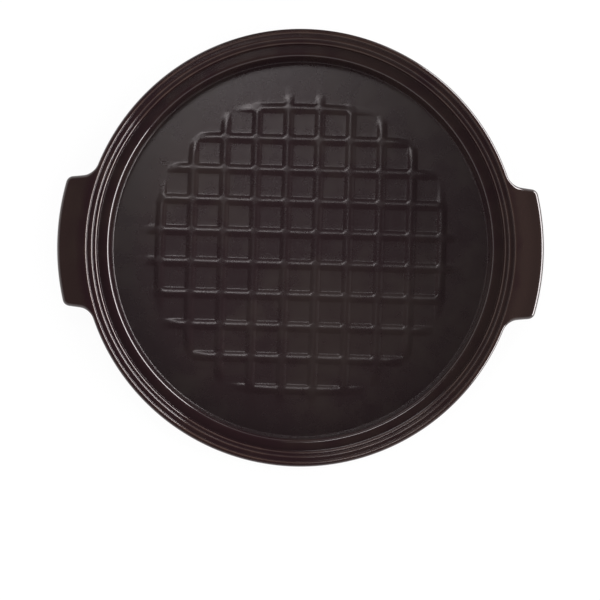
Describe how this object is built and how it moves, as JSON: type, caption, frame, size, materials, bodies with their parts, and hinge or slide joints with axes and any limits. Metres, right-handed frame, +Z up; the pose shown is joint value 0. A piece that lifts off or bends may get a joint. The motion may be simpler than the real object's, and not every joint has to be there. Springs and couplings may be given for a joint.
{
  "type": "bread cloche",
  "caption": "Round glazed stoneware baking base with a ribbed floor, a stepped rim and tab handles, and a domed lid with a knob that lifts off.",
  "frame": {"origin": "middle of the base's flat foot, on the table", "axes": "+Z up, +X through the middles of the two handles, +Y from the base towards the dome standing beside it"},
  "size_m": [0.3408, 0.639, 0.148],
  "materials": {
    "base_glaze": "dark brown-black glossy glaze over stoneware, with a bare clay foot",
    "dome_glaze": "dark brown-black glossy glaze over stoneware, with a bare clay rim"
  },
  "bodies": {
    "base": {"base": "base_glaze"},
    "dome": {"dome": "dome_glaze"}
  },
  "joints": [
    {"name": "dome_lift", "type": "slide", "parent": "base", "child": "dome", "axis": [0, 0, 1], "range_m": [0, 0.2]}
  ]
}
